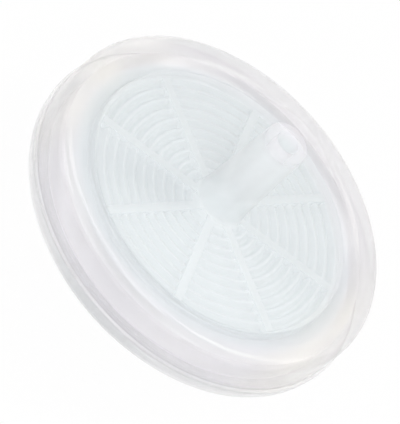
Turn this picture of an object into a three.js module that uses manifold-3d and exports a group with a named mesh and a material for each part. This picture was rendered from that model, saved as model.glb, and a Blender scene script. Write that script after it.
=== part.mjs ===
// Syringe filter: a disc housing of two moulded halves that clamp a round membrane.
// Units are millimetres. +Z is the flow axis: the inlet mouth is at z = 0, the outlet tip is on top.
import * as THREE from 'three';
import { mergeVertices } from 'three/addons/utils/BufferGeometryUtils.js';
import Module from 'manifold-3d';

// Driving dimensions: inlet port (female Luer lock)
const portLength = 8.35;          // mouth to the underside of the rim
const portRadius = 3.3;
const portBaseRadius = 3.6;       // where the port meets its root fillet
const mouthRadius = 2.15;         // socket at the mouth
const luerTaper = 0.06;           // change of diameter per length, both fittings
const socketDepth = 8;
const inletBoreRadius = 1;
const mouthChamfer = 0.25;
const lugReach = 3.9;             // from the axis to the crest of a lug
const lugWidth = 3.4;
const lugHeight = 1.3;
const lugCount = 2;

// Driving dimensions: the rim in plan, from its outer edge inwards
const rimRadius = 16.4;           // outlet half
const inletRimStep = 0.2;         // the inlet half stands out this far past the outlet half
const skirtWall = 1.2;
const plugClearance = 0.3;        // plug to skirt
const weldLandWidth = 0.5;
const membraneClearance = 0.3;    // membrane to the weld land
const clampWidth = 1.3;           // both halves grip this much of the membrane's edge
const rimCrestWidth = 2.1;        // outer edge to the start of the rim's inner slope
const rimSlopeWidth = 1.7;
const backRimWidth = 4.2;         // inlet half, outer edge to the recess in its back

// Driving dimensions: inlet half of the housing
const inletRimHeight = 2.4;       // underside of the rim to the seam
const inletRimRounding = 2.1;
const backRecessDepth = 2.1;
const backRecessFillet = 0.6;
const portRootFillet = 0.8;
const gussetCount = 4;
const gussetReach = 8.2;          // from the axis to the toe of a gusset
const gussetDrop = 3.4;           // along the port, from the back plate
const gussetThickness = 1;
const inletChamberDepth = 0.8;    // below the membrane
const inletRibCount = 8;
const inletRibHeight = 0.45;
const inletRibWidth = 0.8;
const inletRibGap = 1;            // a rib's outer end to the chamber wall
const inletHubRadius = 2.9;       // the ribs start here
const membraneThickness = 0.2;

// Driving dimensions: outlet half of the housing
const skirtHeight = 2.8;          // seam to the start of the rim's rounding
const rimRounding = 1.1;
const clampHeight = 2.25;         // seam to the face that clamps the membrane
const gridDepth = 0.5;            // plate underside to the ridge tips
const plateThickness = 0.6;
const gridPitch = 1;
const firstRidgeRadius = 2.9;
const gridWallGap = 0.5;          // ends of the channels to the chamber wall
const ridgeTipWidth = 0.25;
const ridgeBaseWidth = 0.75;
const channelCount = 8;
const channelWidth = 0.8;
const channelSink = 0.15;         // a channel's floor lies this deep in the plate

// Driving dimensions: outlet nozzle (male Luer slip)
const nozzleLength = 9.9;         // plate to tip
const nozzleTipRadius = 2.02;
const outletBoreRadius = 1.05;
const nozzleTipRounding = 0.2;
const nozzleRootFillet = 0.45;

// Facets
const segments = 64;              // round a full turn
const arcSteps = 3;               // along each rounding and fillet
const bite = 0.3;                 // how far an added rib or lug reaches into its wall

// Radii
const inletRimRadius = rimRadius + inletRimStep;
const skirtRadius = rimRadius - skirtWall;
const plugRadius = skirtRadius - plugClearance;
const pocketRadius = plugRadius - weldLandWidth;
const membraneRadius = pocketRadius - membraneClearance;
const chamberRadius = membraneRadius - clampWidth;      // open part of the chamber, both halves
const rimSlopeOuter = rimRadius - rimCrestWidth;
const rimSlopeInner = rimSlopeOuter - rimSlopeWidth;
const gridRadius = chamberRadius - gridWallGap;
const backRecessRadius = inletRimRadius - backRimWidth;

// Heights along the axis
const seamZ = portLength + inletRimHeight;
const clampZ = seamZ + clampHeight;
const membraneZ = clampZ - membraneThickness;
const chamberFloorZ = membraneZ - inletChamberDepth;
const backPlateZ = portLength + backRecessDepth;
const plateUnderZ = clampZ + gridDepth;
const plateZ = plateUnderZ + plateThickness;
const rimCrestZ = seamZ + skirtHeight + rimRounding;
const tipZ = plateZ + nozzleLength;

const wasm = await Module();
wasm.setup();

function toManifold(geometry) {
  const bare = geometry.clone();
  bare.deleteAttribute('normal');
  bare.deleteAttribute('uv');
  const merged = mergeVertices(bare);
  return new wasm.Manifold(new wasm.Mesh({
    numProp: 3,
    vertProperties: new Float32Array(merged.attributes.position.array),
    triVerts: new Uint32Array(merged.index.array),
  }));
}

function toGeometry(solid) {
  const mesh = solid.getMesh();
  const geometry = new THREE.BufferGeometry();
  geometry.setAttribute('position', new THREE.BufferAttribute(new Float32Array(mesh.vertProperties), 3));
  geometry.setIndex(new THREE.BufferAttribute(new Uint32Array(mesh.triVerts), 1));
  geometry.computeVertexNormals();
  return geometry;
}

// A section drawn as x = radius, y = height becomes a solid of revolution round +Z.
function revolve(section) {
  return new THREE.LatheGeometry(section.getPoints(arcSteps), segments).rotateX(Math.PI / 2);
}

// A fillet or rounding drawn by its centre, from one angle to another in degrees.
function corner(section, x, y, radius, from, to) {
  const start = THREE.MathUtils.degToRad(from);
  const end = THREE.MathUtils.degToRad(to);
  section.absarc(x, y, radius, start, end, to < from);
}

function around(count, make, startAngle = 0) {
  return Array.from({ length: count }, (unused, i) => make().rotateZ(startAngle + i * 2 * Math.PI / count));
}

// A box that runs outwards along +X from one radius to another.
function radialBar(fromRadius, toRadius, width, fromZ, toZ) {
  const bar = new THREE.BoxGeometry(toRadius - fromRadius, width, toZ - fromZ);
  return bar.translate((fromRadius + toRadius) / 2, 0, (fromZ + toZ) / 2);
}

function nozzleRadiusAt(z) {
  return nozzleTipRadius + (tipZ - z) * luerTaper / 2;
}

// The support grid under the plate: one trapezoid for each concentric ridge, as many as there is room for.
function drawRidges(section) {
  for (let radius = firstRidgeRadius; radius + ridgeBaseWidth / 2 < gridRadius; radius += gridPitch) {
    section.lineTo(radius - ridgeBaseWidth / 2, plateUnderZ);
    section.lineTo(radius - ridgeTipWidth / 2, clampZ);
    section.lineTo(radius + ridgeTipWidth / 2, clampZ);
    section.lineTo(radius + ridgeBaseWidth / 2, plateUnderZ);
  }
}

function outletSection() {
  const rootZ = plateZ + nozzleRootFillet;
  const rootRadius = nozzleRadiusAt(rootZ) + nozzleRootFillet;
  const tipEdgeZ = tipZ - nozzleTipRounding;
  const roundingZ = seamZ + skirtHeight;
  const slopeMiddle = (rimSlopeOuter + rimSlopeInner) / 2;
  const section = new THREE.Path();
  section.moveTo(skirtRadius, seamZ);
  section.lineTo(rimRadius, seamZ);
  section.lineTo(rimRadius, roundingZ);
  corner(section, rimRadius - rimRounding, roundingZ, rimRounding, 0, 90);
  section.lineTo(rimSlopeOuter, rimCrestZ);
  section.bezierCurveTo(slopeMiddle, rimCrestZ, slopeMiddle, plateZ, rimSlopeInner, plateZ);
  section.lineTo(rootRadius, plateZ);
  corner(section, rootRadius, rootZ, nozzleRootFillet, 270, 180);
  section.lineTo(nozzleRadiusAt(tipEdgeZ), tipEdgeZ);
  corner(section, nozzleRadiusAt(tipEdgeZ) - nozzleTipRounding, tipEdgeZ, nozzleTipRounding, 0, 90);
  section.lineTo(outletBoreRadius, tipZ);
  section.lineTo(outletBoreRadius, plateUnderZ);
  drawRidges(section);
  section.lineTo(chamberRadius, plateUnderZ);
  section.lineTo(chamberRadius, clampZ);
  section.lineTo(skirtRadius, clampZ);
  section.lineTo(skirtRadius, seamZ);
  return section;
}

function makeOutletHousing() {
  let solid = toManifold(revolve(outletSection()));
  const channel = () => radialBar(0, gridRadius, channelWidth, clampZ - bite, plateUnderZ + channelSink);
  for (const cut of around(channelCount, channel)) {
    solid = solid.subtract(toManifold(cut));
  }
  return toGeometry(solid);
}

function inletSection() {
  const socketEndRadius = mouthRadius - socketDepth * luerTaper / 2;
  const rootZ = backPlateZ - portRootFillet;
  const rootRadius = portBaseRadius + portRootFillet;
  const fillet = backRecessFillet;
  const section = new THREE.Path();
  section.moveTo(mouthRadius, 0);
  section.lineTo(portRadius - mouthChamfer, 0);
  section.lineTo(portRadius, mouthChamfer);
  section.lineTo(portBaseRadius, rootZ);
  corner(section, rootRadius, rootZ, portRootFillet, 180, 90);
  section.lineTo(backRecessRadius - fillet, backPlateZ);
  corner(section, backRecessRadius - fillet, backPlateZ - fillet, fillet, 90, 0);
  section.lineTo(backRecessRadius, portLength);
  section.lineTo(inletRimRadius - inletRimRounding, portLength);
  corner(section, inletRimRadius - inletRimRounding, portLength + inletRimRounding, inletRimRounding, 270, 360);
  section.lineTo(inletRimRadius, seamZ);
  section.lineTo(plugRadius, seamZ);
  section.lineTo(plugRadius, clampZ);
  section.lineTo(pocketRadius, clampZ);
  section.lineTo(pocketRadius, membraneZ);
  section.lineTo(chamberRadius, membraneZ);
  section.lineTo(chamberRadius, chamberFloorZ);
  section.lineTo(inletBoreRadius, chamberFloorZ);
  section.lineTo(inletBoreRadius, socketDepth);
  section.lineTo(socketEndRadius, socketDepth);
  section.lineTo(mouthRadius, 0);
  return section;
}

// One lug of the Luer lock, on +X at the mouth.
function makeLug() {
  const half = lugWidth / 2;
  const crest = Math.asin(half / lugReach);
  const rootX = Math.sqrt((portRadius - bite) ** 2 - half ** 2);
  const outline = new THREE.Shape();
  outline.moveTo(rootX, -half);
  outline.absarc(0, 0, lugReach, -crest, crest, false);
  outline.lineTo(rootX, half);
  outline.closePath();
  return new THREE.ExtrudeGeometry(outline, { depth: lugHeight, bevelEnabled: false, curveSegments: arcSteps });
}

// One triangular web on +X between the port and the back plate.
function makeGusset() {
  const outline = new THREE.Shape();
  outline.moveTo(portRadius - bite, backPlateZ - gussetDrop);
  outline.lineTo(gussetReach, backPlateZ);
  outline.lineTo(gussetReach, backPlateZ + bite);
  outline.lineTo(portRadius - bite, backPlateZ + bite);
  outline.closePath();
  const web = new THREE.ExtrudeGeometry(outline, { depth: gussetThickness, bevelEnabled: false });
  return web.translate(0, 0, -gussetThickness / 2).rotateX(Math.PI / 2);
}

function makeInletHousing() {
  const ribEnd = chamberRadius - inletRibGap;
  const ribTopZ = chamberFloorZ + inletRibHeight;
  const rib = () => radialBar(inletHubRadius, ribEnd, inletRibWidth, chamberFloorZ - bite, ribTopZ);
  const additions = [
    ...around(lugCount, makeLug),
    ...around(gussetCount, makeGusset, Math.PI / gussetCount),
    ...around(inletRibCount, rib),
  ];
  let solid = toManifold(revolve(inletSection()));
  for (const addition of additions) {
    solid = solid.add(toManifold(addition));
  }
  return toGeometry(solid);
}

function makeMembrane() {
  const disc = new THREE.CylinderGeometry(membraneRadius, membraneRadius, membraneThickness, segments);
  return disc.rotateX(Math.PI / 2).translate(0, 0, membraneZ + membraneThickness / 2);
}

function polypropylene() {
  return new THREE.MeshStandardMaterial({
    color: '#dfe3e7', roughness: 0.32, metalness: 0, transparent: true, opacity: 0.6,
  });
}

function addPiece(group, name, geometry, material) {
  const mesh = new THREE.Mesh(geometry, material);
  mesh.name = name;
  group.add(mesh);
}

const group = new THREE.Group();
addPiece(group, 'inlet_housing', makeInletHousing(), polypropylene());
addPiece(group, 'filter_membrane', makeMembrane(),
  new THREE.MeshStandardMaterial({ color: '#f4f5f4', roughness: 0.8, metalness: 0 }));
addPiece(group, 'outlet_housing', makeOutletHousing(), polypropylene());

export default group;
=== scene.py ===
"""Looks of a syringe filter: a disc housing of two natural polypropylene mouldings round a membrane.

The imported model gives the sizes. Each housing is built again as one closed mesh of revolution, with
the rings and channels of its support grid, its lugs, gussets and ribs, and stands for its CAD node.
The building works in millimetres along +Z, the part's flow axis, and each mesh is scaled to metres
at the end.
"""

import math

import bpy
from mathutils import Matrix, Vector


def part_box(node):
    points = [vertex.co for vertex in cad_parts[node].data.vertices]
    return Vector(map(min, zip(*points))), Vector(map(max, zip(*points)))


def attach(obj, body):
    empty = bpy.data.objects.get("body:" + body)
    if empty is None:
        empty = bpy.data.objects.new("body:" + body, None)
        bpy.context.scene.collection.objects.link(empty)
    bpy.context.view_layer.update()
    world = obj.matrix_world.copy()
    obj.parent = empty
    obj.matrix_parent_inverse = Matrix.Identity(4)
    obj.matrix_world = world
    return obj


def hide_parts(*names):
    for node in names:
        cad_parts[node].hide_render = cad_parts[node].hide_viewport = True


MM = 0.001

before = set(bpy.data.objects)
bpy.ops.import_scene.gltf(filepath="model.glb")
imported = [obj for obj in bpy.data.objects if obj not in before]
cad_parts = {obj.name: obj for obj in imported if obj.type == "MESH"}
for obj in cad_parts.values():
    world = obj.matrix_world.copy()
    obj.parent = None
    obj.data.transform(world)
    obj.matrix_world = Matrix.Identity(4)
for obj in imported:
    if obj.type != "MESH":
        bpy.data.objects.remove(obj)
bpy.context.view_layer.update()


# ---------------------------------------------------------------- sizes, in millimetres

def box_mm(node):
    low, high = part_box(node)
    return low / MM, high / MM


outlet_low, outlet_high = box_mm("outlet_housing")
inlet_high = box_mm("inlet_housing")[1]
membrane_low, membrane_high = box_mm("filter_membrane")

RIM_RADIUS = outlet_high.x
SEAM_Z = outlet_low.z
TIP_Z = outlet_high.z
INLET_RIM_RADIUS = inlet_high.x
CLAMP_Z = inlet_high.z
MEMBRANE_RADIUS = membrane_high.x
MEMBRANE_Z = membrane_low.z

# The rim in plan, from its outer edge inwards
SKIRT_WALL = 1.2
PLUG_CLEARANCE = 0.3
WELD_LAND = 0.5
CLAMP_WIDTH = 1.3        # both halves grip this much of the membrane's edge
CREST_WIDTH = 2.1        # outer edge to the start of the inner slope
SLOPE_WIDTH = 1.7
BACK_RIM_WIDTH = 4.2     # inlet half, outer edge to the recess in its back
SKIRT_RADIUS = RIM_RADIUS - SKIRT_WALL
PLUG_RADIUS = SKIRT_RADIUS - PLUG_CLEARANCE
POCKET_RADIUS = PLUG_RADIUS - WELD_LAND
CHAMBER_RADIUS = MEMBRANE_RADIUS - CLAMP_WIDTH
SLOPE_OUTER = RIM_RADIUS - CREST_WIDTH
SLOPE_INNER = SLOPE_OUTER - SLOPE_WIDTH
BACK_RECESS_RADIUS = INLET_RIM_RADIUS - BACK_RIM_WIDTH

# Heights
RIM_HEIGHT = 3.9         # seam to crest
PLATE_HEIGHT = 3.35      # seam to the plate's face
PLATE_THICKNESS = 0.6
INLET_RIM_HEIGHT = 2.4
BACK_RECESS_DEPTH = 2.1
CHAMBER_DEPTH = 0.8      # below the membrane
CREST_Z = SEAM_Z + RIM_HEIGHT
PLATE_Z = SEAM_Z + PLATE_HEIGHT
UNDER_Z = PLATE_Z - PLATE_THICKNESS
BACK_Z = SEAM_Z - INLET_RIM_HEIGHT
BACK_PLATE_Z = BACK_Z + BACK_RECESS_DEPTH
CHAMBER_FLOOR_Z = MEMBRANE_Z - CHAMBER_DEPTH

# The outlet's support grid and nozzle
GRID_PITCH = 1.0
GRID_WALL_GAP = 0.5      # ends of the channels to the chamber's wall
FIRST_RIDGE = 2.9
RIDGE_TIP = 0.25
RIDGE_BASE = 0.75
GRID_RADIUS = CHAMBER_RADIUS - GRID_WALL_GAP
RIDGES = math.ceil((GRID_RADIUS - RIDGE_BASE / 2 - FIRST_RIDGE) / GRID_PITCH)
CHANNELS = 8
CHANNEL_START = 0.5      # inside the bore
CHANNEL_WIDTH = 0.8
CHANNEL_SINK = 0.15      # a channel's floor lies this deep in the plate
NOZZLE_TIP_RADIUS = 2.02
OUTLET_BORE = 1.05
LUER_TAPER = 0.06        # change of diameter per length

# The inlet port, its gussets and the chamber's ribs
PORT_RADIUS = 3.3
PORT_BASE_RADIUS = 3.6
MOUTH_RADIUS = 2.15
SOCKET_DEPTH = 8.0
INLET_BORE = 1.0
LUGS = 2
LUG_REACH = 3.9
LUG_WIDTH = 3.4
LUG_HEIGHT = 1.3
GUSSETS = 4
GUSSET_REACH = 8.2
GUSSET_DROP = 3.4
GUSSET_THICKNESS = 1.0
RIBS = 8
RIB_START = 2.9
RIB_WALL_GAP = 1.0
RIB_END = CHAMBER_RADIUS - RIB_WALL_GAP
RIB_WIDTH = 0.8
RIB_HEIGHT = 0.45

# Roundings and fillets
RIM_ROUNDING = 1.1
INLET_RIM_ROUNDING = 2.1
NOZZLE_ROOT_FILLET = 0.45
PORT_ROOT_FILLET = 0.8
BACK_RECESS_FILLET = 0.6
RIDGE_ROUNDING = 0.1
SEAM_EDGE = 0.12
SKIRT_EDGE = 0.06
FAINT_EDGE = 0.05
FINE_EDGE = 0.1
BORE_EDGE = 0.15
SOFT_EDGE = 0.2
WIDE_EDGE = 0.25

BITE = 0.3               # how far an added rib, lug or gusset reaches into its wall
CONTACT = 0.03           # pieces that meet face to face are drawn this far apart
SEGMENTS = 256           # round a full turn
ROUND_STEPS = 5          # along each rounding
SLOPE_STEPS = 12         # down the rim's inner slope
LUG_STEPS = 12           # along a lug's crest
SHARP_ANGLE = math.radians(35)


# ---------------------------------------------------------------- mesh helpers

def rounded(corners):
    """The points of a closed outline of (radius, height, rounding) corners, with each rounding an arc."""
    points = []
    for i, (r, z, rounding) in enumerate(corners):
        here = Vector((r, z))
        if rounding == 0:
            points.append(here)
            continue
        back = Vector(corners[i - 1][:2]) - here
        ahead = Vector(corners[(i + 1) % len(corners)][:2]) - here
        half = back.angle(ahead) / 2
        reach = rounding / math.tan(half)
        back.normalize()
        ahead.normalize()
        centre = here + (back + ahead).normalized() * (reach / math.cos(half))
        start = here + back * reach - centre
        end = here + ahead * reach - centre
        turn = start.angle_signed(end)
        for k in range(ROUND_STEPS + 1):
            spoke = start.copy()
            spoke.rotate(Matrix.Rotation(-turn * k / ROUND_STEPS, 2))
            points.append(centre + spoke)
    return points


def add_object(name, vertices, faces):
    mesh = bpy.data.meshes.new(name)
    mesh.from_pydata(vertices, [], faces)
    mesh.validate()
    piece = bpy.data.objects.new(name, mesh)
    bpy.context.scene.collection.objects.link(piece)
    return piece


def revolve(name, corners):
    """A closed outline turned round +Z, as a mesh of quads."""
    outline = rounded(corners)
    count = len(outline)
    vertices = []
    for k in range(SEGMENTS):
        angle = math.tau * k / SEGMENTS
        vertices += [(p.x * math.cos(angle), p.x * math.sin(angle), p.y) for p in outline]
    faces = []
    for k in range(SEGMENTS):
        here = k * count
        there = (k + 1) % SEGMENTS * count
        for i in range(count):
            ahead = (i + 1) % count
            faces.append((here + i, there + i, there + ahead, here + ahead))
    return add_object(name, vertices, faces)


def prism(outline, width):
    """An outline of (x, z) points, counter-clockwise seen from -Y, made this wide along Y."""
    count = len(outline)
    vertices = [(x, y, z) for y in (-width / 2, width / 2) for x, z in outline]
    sides = [(i, i + count, (i + 1) % count + count, (i + 1) % count) for i in range(count)]
    faces = [tuple(range(count)), tuple(reversed(range(count, 2 * count))), *sides]
    return add_object("tool", vertices, faces)


def bar(start, end, low, high, width):
    """A straight bar along +X."""
    return prism([(start, low), (end, low), (end, high), (start, high)], width)


def around(count, make, first_angle=0.0):
    """Copies of what a function makes on +X, spread evenly round +Z."""
    tools = []
    for k in range(count):
        tool = make()
        tool.data.transform(Matrix.Rotation(first_angle + math.tau * k / count, 4, "Z"))
        tools.append(tool)
    return tools


def combine(piece, operation, tools):
    """Join the tools to the piece, or cut them out of it."""
    for tool in tools:
        step = piece.modifiers.new("tool", "BOOLEAN")
        step.operation = operation
        step.solver = "MANIFOLD"
        step.object = tool
    bpy.context.view_layer.update()
    result = bpy.data.meshes.new_from_object(piece.evaluated_get(bpy.context.evaluated_depsgraph_get()))
    piece.modifiers.clear()
    piece.data = result
    for tool in tools:
        bpy.data.objects.remove(tool)


def finish_piece(piece):
    piece.data.transform(Matrix.Scale(MM, 4))
    piece.data.shade_smooth()
    piece.data.set_sharp_from_angle(angle=SHARP_ANGLE)
    return piece


# ---------------------------------------------------------------- outlet housing

def nozzle_radius(z):
    return NOZZLE_TIP_RADIUS + (TIP_Z - z) * LUER_TAPER / 2


def rim_slope():
    """The rim's inner slope, from its crest down to the plate, as a smooth S."""
    corners = []
    for k in range(SLOPE_STEPS + 1):
        share = k / SLOPE_STEPS
        fall = share * share * (3 - 2 * share)
        corners.append((
            SLOPE_OUTER + (SLOPE_INNER - SLOPE_OUTER) * share,
            CREST_Z + (PLATE_Z - CREST_Z) * fall,
            0,
        ))
    return corners


def ridge_corners():
    """The support grid's ridges under the plate, from the first one outwards."""
    corners = []
    for k in range(RIDGES):
        radius = FIRST_RIDGE + k * GRID_PITCH
        corners += [
            (radius - RIDGE_BASE / 2, UNDER_Z, RIDGE_ROUNDING),
            (radius - RIDGE_TIP / 2, CLAMP_Z, RIDGE_ROUNDING),
            (radius + RIDGE_TIP / 2, CLAMP_Z, RIDGE_ROUNDING),
            (radius + RIDGE_BASE / 2, UNDER_Z, RIDGE_ROUNDING),
        ]
    return corners


def make_channel():
    return bar(CHANNEL_START, GRID_RADIUS, CLAMP_Z - BITE, UNDER_Z + CHANNEL_SINK, CHANNEL_WIDTH)


def make_outlet():
    piece = revolve("outlet_body", [
        (SKIRT_RADIUS, SEAM_Z, SKIRT_EDGE),
        (RIM_RADIUS, SEAM_Z, SEAM_EDGE),
        (RIM_RADIUS, CREST_Z, RIM_ROUNDING),
        *rim_slope(),
        (nozzle_radius(PLATE_Z), PLATE_Z, NOZZLE_ROOT_FILLET),
        (NOZZLE_TIP_RADIUS, TIP_Z, SOFT_EDGE),
        (OUTLET_BORE, TIP_Z, FINE_EDGE),
        (OUTLET_BORE, UNDER_Z, BORE_EDGE),
        *ridge_corners(),
        (CHAMBER_RADIUS, UNDER_Z, SOFT_EDGE),
        (CHAMBER_RADIUS, CLAMP_Z, FINE_EDGE),
        (SKIRT_RADIUS, CLAMP_Z, FAINT_EDGE),
    ])
    combine(piece, "DIFFERENCE", around(CHANNELS, make_channel))
    return finish_piece(piece)


# ---------------------------------------------------------------- inlet housing

def make_lug():
    """One lug of the Luer lock, on +X at the mouth: a sector with a round crest."""
    half_width = LUG_WIDTH / 2
    half_turn = math.asin(half_width / LUG_REACH)
    root_x = math.sqrt((PORT_RADIUS - BITE) ** 2 - half_width ** 2)
    crest = [half_turn * (2 * k / LUG_STEPS - 1) for k in range(LUG_STEPS + 1)]
    outline = [(LUG_REACH * math.cos(angle), LUG_REACH * math.sin(angle)) for angle in crest]
    outline += [(root_x, half_width), (root_x, -half_width)]
    lug = prism(outline, LUG_HEIGHT)
    lay_flat = Matrix.Rotation(math.pi / 2, 4, "X")
    lug.data.transform(Matrix.Translation((0, 0, LUG_HEIGHT / 2)) @ lay_flat)
    mirror = Matrix.Scale(-1, 4, (0, 1, 0))
    lug.data.transform(mirror)
    lug.data.flip_normals()
    return lug


def make_gusset():
    start = PORT_RADIUS - BITE
    return prism([
        (start, BACK_PLATE_Z - GUSSET_DROP),
        (GUSSET_REACH, BACK_PLATE_Z),
        (GUSSET_REACH, BACK_PLATE_Z + BITE),
        (start, BACK_PLATE_Z + BITE),
    ], GUSSET_THICKNESS)


def make_rib():
    return bar(RIB_START, RIB_END, CHAMBER_FLOOR_Z - BITE, CHAMBER_FLOOR_Z + RIB_HEIGHT, RIB_WIDTH)


def make_inlet():
    piece = revolve("inlet_body", [
        (MOUTH_RADIUS, 0, FINE_EDGE),
        (PORT_RADIUS, 0, WIDE_EDGE),
        (PORT_BASE_RADIUS, BACK_PLATE_Z, PORT_ROOT_FILLET),
        (BACK_RECESS_RADIUS, BACK_PLATE_Z, BACK_RECESS_FILLET),
        (BACK_RECESS_RADIUS, BACK_Z, WIDE_EDGE),
        (INLET_RIM_RADIUS, BACK_Z, INLET_RIM_ROUNDING),
        (INLET_RIM_RADIUS, SEAM_Z - CONTACT, FINE_EDGE),
        (PLUG_RADIUS, SEAM_Z - CONTACT, FAINT_EDGE),
        (PLUG_RADIUS, CLAMP_Z - CONTACT, FAINT_EDGE),
        (POCKET_RADIUS, CLAMP_Z - CONTACT, FAINT_EDGE),
        (POCKET_RADIUS, MEMBRANE_Z, FAINT_EDGE),
        (CHAMBER_RADIUS, MEMBRANE_Z, FINE_EDGE),
        (CHAMBER_RADIUS, CHAMBER_FLOOR_Z, SOFT_EDGE),
        (INLET_BORE, CHAMBER_FLOOR_Z, BORE_EDGE),
        (INLET_BORE, SOCKET_DEPTH, FINE_EDGE),
        (MOUTH_RADIUS - SOCKET_DEPTH * LUER_TAPER / 2, SOCKET_DEPTH, BORE_EDGE),
    ])
    combine(piece, "UNION", [
        *around(LUGS, make_lug),
        *around(GUSSETS, make_gusset, math.pi / GUSSETS),
        *around(RIBS, make_rib),
    ])
    return finish_piece(piece)


def make_membrane():
    bpy.ops.mesh.primitive_cylinder_add(
        vertices=SEGMENTS, radius=MEMBRANE_RADIUS, depth=CLAMP_Z - MEMBRANE_Z - 2 * CONTACT,
        location=(0, 0, (CLAMP_Z + MEMBRANE_Z) / 2),
    )
    piece = bpy.context.object
    piece.name = "membrane_disc"
    piece.data.transform(piece.matrix_world)
    piece.matrix_world = Matrix.Identity(4)
    return finish_piece(piece)


# ---------------------------------------------------------------- materials

POLYPROPYLENE_IOR = 1.49
MOULDED_ROUGHNESS = 0.3
SKIN_ROUGHNESS = 0.25
COAT_ROUGHNESS = 0.2

# Tints of the housing: bluish over the plate, lilac at the rim and at the nozzle's tip
CENTRE_TINT = (0.90, 0.93, 0.95)
RIM_TINT = (0.915, 0.895, 0.935)
NOZZLE_TINT = (0.87, 0.90, 0.915)
NOZZLE_TIP_TINT = (0.83, 0.81, 0.85)
# Painted shade: a dark greenish grey on the weld land, which shows through the rim as a dark ring
WELD_SHADE_TINT = (0.58, 0.63, 0.61)
TINT_CENTRE = (-0.5, -0.4)
TINT_START = 12.6        # distances from that centre over which the tint turns to the rim's
TINT_END = 14.2
HEIGHT_STRETCH = 1.3     # heights count this much in that distance

# Painted shade: a darker tint for a wall seen edge on, which comes in between these two values of Layer
# Weight's Facing
EDGE_SHADE_TINT = (0.66, 0.64, 0.68)
EDGE_START = 0.25
EDGE_END = 0.9

# Painted warm highlights: cloudy cream patches at two ends of the rim
WARM_HIGHLIGHT_TINT = (1.0, 0.975, 0.92)
WARM_AZIMUTH = math.radians(-18)
WARM_AXIS = (math.cos(WARM_AZIMUTH), math.sin(WARM_AZIMUTH), 0)
WARM_START = 11.0        # distances along that axis over which the warmth grows
WARM_END = 15.5
WARM_MOST = 0.8
WARM_LEAST = 0.4         # share of it that is left between the clouds
CLOUD_SCALE = 150
CLOUD_DETAIL = 1
CLOUD_RANGE = (0.35, 0.6)

# The membrane's grain, from its darker and rougher parts to its lighter and smoother ones
GRAIN_SCALE = 3000
GRAIN_DETAIL = 3
GRAIN_RANGE = (0.3, 0.7)
GRAIN_COLOURS = (0.745, 0.79, 0.805), (0.765, 0.81, 0.825)
GRAIN_ROUGHNESS = (0.9, 0.75)

# A Mix node's sockets for colours, by number because each data type has sockets of the same names
COLOUR_A = 6
COLOUR_B = 7
COLOUR_RESULT = 2


def new_material(name):
    material = bpy.data.materials.new(name)
    material.use_nodes = True
    tree = material.node_tree
    tree.nodes.clear()
    output = tree.nodes.new("ShaderNodeOutputMaterial")
    shader = tree.nodes.new("ShaderNodeBsdfPrincipled")
    tree.links.new(shader.outputs[0], output.inputs[0])
    return material, tree, shader


def object_place(tree):
    return tree.nodes.new("ShaderNodeTexCoord").outputs["Object"]


def calculate(tree, operation, first, second):
    """A Math node's result for a node value and a second one, which may be a plain number."""
    step = tree.nodes.new("ShaderNodeMath")
    step.operation = operation
    tree.links.new(first, step.inputs[0])
    if isinstance(second, float):
        step.inputs[1].default_value = second
    else:
        tree.links.new(second, step.inputs[1])
    return step.outputs[0]


def vector_step(tree, operation, vector, second):
    step = tree.nodes.new("ShaderNodeVectorMath")
    step.operation = operation
    tree.links.new(vector, step.inputs[0])
    step.inputs[1].default_value = second
    return step


def noise(tree, scale, detail):
    texture = tree.nodes.new("ShaderNodeTexNoise")
    texture.inputs["Scale"].default_value = scale
    texture.inputs["Detail"].default_value = detail
    tree.links.new(object_place(tree), texture.inputs["Vector"])
    return texture.outputs["Fac"]


def smooth_range(tree, value, low, high, to_low=0.0, to_high=1.0):
    ranged = tree.nodes.new("ShaderNodeMapRange")
    ranged.interpolation_type = "SMOOTHSTEP"
    tree.links.new(value, ranged.inputs["Value"])
    ranged.inputs["From Min"].default_value = low
    ranged.inputs["From Max"].default_value = high
    ranged.inputs["To Min"].default_value = to_low
    ranged.inputs["To Max"].default_value = to_high
    return ranged.outputs["Result"]


def mix_colours(tree, share, first, second):
    mix = tree.nodes.new("ShaderNodeMix")
    mix.data_type = "RGBA"
    tree.links.new(share, mix.inputs["Factor"])
    for socket, colour in ((mix.inputs[COLOUR_A], first), (mix.inputs[COLOUR_B], second)):
        if isinstance(colour, tuple):
            socket.default_value = (*colour, 1)
        else:
            tree.links.new(colour, socket)
    return mix.outputs[COLOUR_RESULT]


def outwardness(tree):
    """0 over the filter plate and 1 at the rim and at the nozzle's tip."""
    offset = vector_step(tree, "SUBTRACT", object_place(tree), Vector((*TINT_CENTRE, CLAMP_Z)) * MM)
    stretched = vector_step(tree, "MULTIPLY", offset.outputs["Vector"], (1, 1, HEIGHT_STRETCH))
    length = vector_step(tree, "LENGTH", stretched.outputs["Vector"], (0, 0, 0))
    return smooth_range(tree, length.outputs["Value"], TINT_START * MM, TINT_END * MM)


def painted_warm_highlight(tree):
    """Painted warm highlights: cloudy patches at the two ends of the rim along WARM_AXIS."""
    along = vector_step(tree, "DOT_PRODUCT", object_place(tree), WARM_AXIS)
    distance = calculate(tree, "ABSOLUTE", along.outputs["Value"], 0.0)
    end = smooth_range(tree, distance, WARM_START * MM, WARM_END * MM, 0, WARM_MOST)
    clouds = smooth_range(tree, noise(tree, CLOUD_SCALE, CLOUD_DETAIL), *CLOUD_RANGE, WARM_LEAST, 1)
    return calculate(tree, "MULTIPLY", end, clouds)


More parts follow.
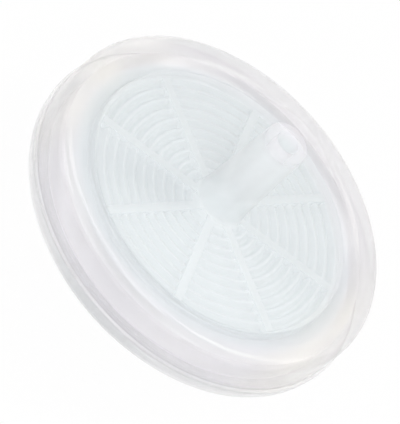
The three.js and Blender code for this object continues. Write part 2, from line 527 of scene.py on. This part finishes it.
def polypropylene(name, transmission, alpha, roughness, centre=CENTRE_TINT, rim=RIM_TINT, edge=0, coat=0):
    """Natural polypropylene, with painted warm highlights at two ends of the rim. The lower alpha is, the
    more shows through; edge sets the share of the painted edge shade.
    """
    material, tree, shader = new_material(name)
    tint = mix_colours(tree, outwardness(tree), centre, rim)
    # Painted warm highlights at the two ends of the rim
    tint = mix_colours(tree, painted_warm_highlight(tree), tint, WARM_HIGHLIGHT_TINT)
    # Painted shade: walls seen edge on turn towards the darker edge tint, as far as edge says
    facing = tree.nodes.new("ShaderNodeLayerWeight").outputs["Facing"]
    tint = mix_colours(tree, smooth_range(tree, facing, EDGE_START, EDGE_END, 0, edge), tint, EDGE_SHADE_TINT)
    tree.links.new(tint, shader.inputs["Base Color"])
    shader.inputs["Roughness"].default_value = roughness
    shader.inputs["IOR"].default_value = POLYPROPYLENE_IOR
    shader.inputs["Alpha"].default_value = alpha
    shader.inputs["Transmission Weight"].default_value = transmission
    shader.inputs["Coat Weight"].default_value = coat
    shader.inputs["Coat Roughness"].default_value = COAT_ROUGHNESS
    return material


def membrane_white():
    """Matt white with a fine fibrous grain."""
    material, tree, shader = new_material("membrane_white")
    grain = noise(tree, GRAIN_SCALE, GRAIN_DETAIL)
    colour = mix_colours(tree, smooth_range(tree, grain, *GRAIN_RANGE), *GRAIN_COLOURS)
    roughness = smooth_range(tree, grain, *GRAIN_RANGE, *GRAIN_ROUGHNESS)
    tree.links.new(colour, shader.inputs["Base Color"])
    tree.links.new(roughness, shader.inputs["Roughness"])
    return material


# ---------------------------------------------------------------- stage

SKY_COLOUR = (0.975, 0.985, 0.99)
SKY_STRENGTH = 0.67      # as light; where it is seen, it is plain white
FLOOR_SIZE = 6           # metres
FLOOR_COLOUR = (0.9, 0.9, 0.9)
FLOOR_ROUGHNESS = 0.9
FLOOR_WHITE = 0.97       # share of the floor that shows plain white; the rest takes the part's shadow
MIDDLE = Vector((0, 0, TIP_Z / 2 * MM))
LAMPS = (
    # name, azimuth, elevation, distance, width, height, power, colour, seen in gloss, lights matt faces
    ("key", 21, 47.7, 0.4, 0.09, 0.09, 0.36, (1, 0.95, 0.89), False),
    ("plate", -88, 67.2, 0.041, 0.012, 0.012, 0.003, (1, 1, 1), False),
    ("left", 177, 31, 0.5, 0.25, 0.25, 0.28, (1, 0.97, 0.95)),
    ("warm", 42, 41.3, 0.45, 0.4, 0.4, 0.11, (1, 0.9, 0.78)),
    ("crest left", 108, 60, 0.45, 0.24, 0.12, 0.3, (1, 0.97, 0.92), True, False),
    ("crest right", 33, 62, 0.45, 0.2, 0.12, 0.2, (1, 0.97, 0.95), True, False),
    ("right", -70, 21.3, 0.4, 0.2, 0.2, 0.12, (1, 0.97, 0.94)),
    ("low", -105, 21.3, 0.4, 0.2, 0.2, 0.28, (1, 0.98, 0.97), False),
    ("front", -133, 21.3, 0.45, 0.3, 0.3, 0.2, (1, 0.97, 1)),
)


def seen_rays(tree):
    """1 for rays that show the background, straight or by way of gloss or glass, and 0 for light."""
    path = tree.nodes.new("ShaderNodeLightPath")
    seen = path.outputs["Is Camera Ray"]
    for kind in ("Is Glossy Ray", "Is Transmission Ray"):
        seen = calculate(tree, "MAXIMUM", seen, path.outputs[kind])
    return seen


def make_world():
    world = bpy.data.worlds.new("studio")
    world.use_nodes = True
    bpy.context.scene.world = world
    tree = world.node_tree
    tree.nodes.clear()
    output = tree.nodes.new("ShaderNodeOutputWorld")
    background = tree.nodes.new("ShaderNodeBackground")
    background.inputs["Color"].default_value = (*SKY_COLOUR, 1)
    strength = tree.nodes.new("ShaderNodeMix")
    strength.inputs["A"].default_value = SKY_STRENGTH
    strength.inputs["B"].default_value = 1.0
    tree.links.new(seen_rays(tree), strength.inputs["Factor"])
    tree.links.new(strength.outputs["Result"], background.inputs["Strength"])
    tree.links.new(background.outputs[0], output.inputs[0])


def make_floor():
    bpy.ops.mesh.primitive_plane_add(size=FLOOR_SIZE)
    floor = bpy.context.object
    floor.name = "floor"
    material, tree, shader = new_material("floor_white")
    shader.inputs["Base Color"].default_value = (*FLOOR_COLOUR, 1)
    shader.inputs["Roughness"].default_value = FLOOR_ROUGHNESS
    white = tree.nodes.new("ShaderNodeEmission")
    white.inputs["Strength"].default_value = 1.0
    mix = tree.nodes.new("ShaderNodeMixShader")
    tree.links.new(calculate(tree, "MULTIPLY", seen_rays(tree), FLOOR_WHITE), mix.inputs[0])
    tree.links.new(shader.outputs[0], mix.inputs[1])
    tree.links.new(white.outputs[0], mix.inputs[2])
    tree.links.new(mix.outputs[0], tree.nodes["Material Output"].inputs[0])
    floor.data.materials.append(material)


def direction(azimuth, elevation):
    """A unit vector, for angles in radians."""
    return Vector((
        math.cos(elevation) * math.cos(azimuth),
        math.cos(elevation) * math.sin(azimuth),
        math.sin(elevation),
    ))


def add_lamp(name, azimuth, elevation, distance, width, height, power, colour, in_gloss=True, on_matt=True):
    """A round or oval lamp that looks at the part's middle, for angles in degrees."""
    data = bpy.data.lights.new(name, "AREA")
    data.shape = "ELLIPSE"
    data.size = width
    data.size_y = height
    data.energy = power
    data.color = colour
    lamp = bpy.data.objects.new(name, data)
    bpy.context.scene.collection.objects.link(lamp)
    towards_lamp = direction(math.radians(azimuth), math.radians(elevation))
    lamp.location = MIDDLE + towards_lamp * distance
    lamp.rotation_mode = "QUATERNION"
    lamp.rotation_quaternion = (-towards_lamp).to_track_quat("-Z", "Y")
    lamp.visible_glossy = in_gloss
    lamp.visible_diffuse = on_matt


# ---------------------------------------------------------------- camera

CAMERA_AZIMUTH = math.radians(-108)
CAMERA_ELEVATION = math.radians(41.3)
CAMERA_ROLL = math.radians(49)
CAMERA_DISTANCE = 0.5
CLIP_START = 0.01
SENSOR = 36.0
FRAME_LONG_SIDE = 35.87 * MM     # what the picture's long side takes in at the target
TARGET_Z = 13.3                  # the target is this point on the axis, moved right and up
TARGET_RIGHT = -0.44
TARGET_UP = -1.34


def make_camera():
    data = bpy.data.cameras.new("camera")
    data.sensor_width = SENSOR
    data.lens = SENSOR * CAMERA_DISTANCE / FRAME_LONG_SIDE
    data.clip_start = CLIP_START
    camera = bpy.data.objects.new("camera", data)
    bpy.context.scene.collection.objects.link(camera)
    back = direction(CAMERA_AZIMUTH, CAMERA_ELEVATION)
    level_right = Vector((0, 0, 1)).cross(back).normalized()
    level_up = back.cross(level_right)
    right = level_right * math.cos(CAMERA_ROLL) + level_up * math.sin(CAMERA_ROLL)
    up = level_up * math.cos(CAMERA_ROLL) - level_right * math.sin(CAMERA_ROLL)
    target = Vector((0, 0, TARGET_Z * MM)) + (level_right * TARGET_RIGHT + level_up * TARGET_UP) * MM
    camera.matrix_world = Matrix((right, up, back)).transposed().to_4x4()
    camera.location = target + back * CAMERA_DISTANCE
    bpy.context.scene.camera = camera


# ---------------------------------------------------------------- assembly

skin = polypropylene(
    "moulded_skin", transmission=1, alpha=0.5, roughness=SKIN_ROUGHNESS, edge=1, coat=1)
inside = polypropylene("moulded_inside", transmission=0, alpha=0.28, roughness=MOULDED_ROUGHNESS)
plate = polypropylene("moulded_plate", transmission=0, alpha=0.23, roughness=MOULDED_ROUGHNESS)
fitting = polypropylene(
    "moulded_fitting", transmission=0, alpha=0.28, roughness=MOULDED_ROUGHNESS,
    centre=NOZZLE_TINT, rim=NOZZLE_TIP_TINT)
# Painted shade on the weld land, seen through the rim as a dark ring
weld_shade = polypropylene(
    "moulded_weld_shade", transmission=0, alpha=0.42, roughness=MOULDED_ROUGHNESS,
    centre=WELD_SHADE_TINT, rim=WELD_SHADE_TINT)

# Where one material ends and the next starts, past the surface in question
FACE_MARGIN = 0.02
BORE_MARGIN = 0.05
PLATE_MARGIN = 0.1
WELD_SHADE_DEPTH = 0.2


def outlet_material(radius, z):
    """The material of an outlet face, by its middle."""
    under_plate = radius < SKIRT_RADIUS + FACE_MARGIN and z < UNDER_Z + CHANNEL_SINK + FACE_MARGIN
    if under_plate or radius < OUTLET_BORE + BORE_MARGIN:
        return inside
    if radius < FIRST_RIDGE and z > PLATE_Z + PLATE_MARGIN:
        return fitting
    return plate if radius < CHAMBER_RADIUS else skin


def inlet_material(radius, z):
    """The material of an inlet face, by its middle."""
    # The weld land's faces take the painted shade
    if z > CLAMP_Z - WELD_SHADE_DEPTH and radius > POCKET_RADIUS - FACE_MARGIN:
        return weld_shade
    if z > SEAM_Z - 2 * CONTACT or radius < MOUTH_RADIUS:
        return inside
    return fitting if radius < GUSSET_REACH and z < BACK_PLATE_Z else skin


for piece, node, materials, choose, slot in (
    (make_outlet(), "outlet_housing", (skin, inside, fitting, plate), outlet_material,
     "natural_polypropylene"),
    (make_inlet(), "inlet_housing", (skin, inside, fitting, weld_shade), inlet_material,
     "natural_polypropylene"),
    (make_membrane(), "filter_membrane", (membrane_white(),), None, "membrane"),
):
    piece.data.materials.clear()
    for material in materials:
        piece.data.materials.append(material)
    if choose:
        for face in piece.data.polygons:
            middle = face.center / MM
            face.material_index = materials.index(choose(math.hypot(middle.x, middle.y), middle.z))
    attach(piece, "root")
    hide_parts(node)

make_world()
make_floor()
make_camera()
for lamp in LAMPS:
    add_lamp(*lamp)
bpy.context.scene.view_settings.view_transform = "Standard"
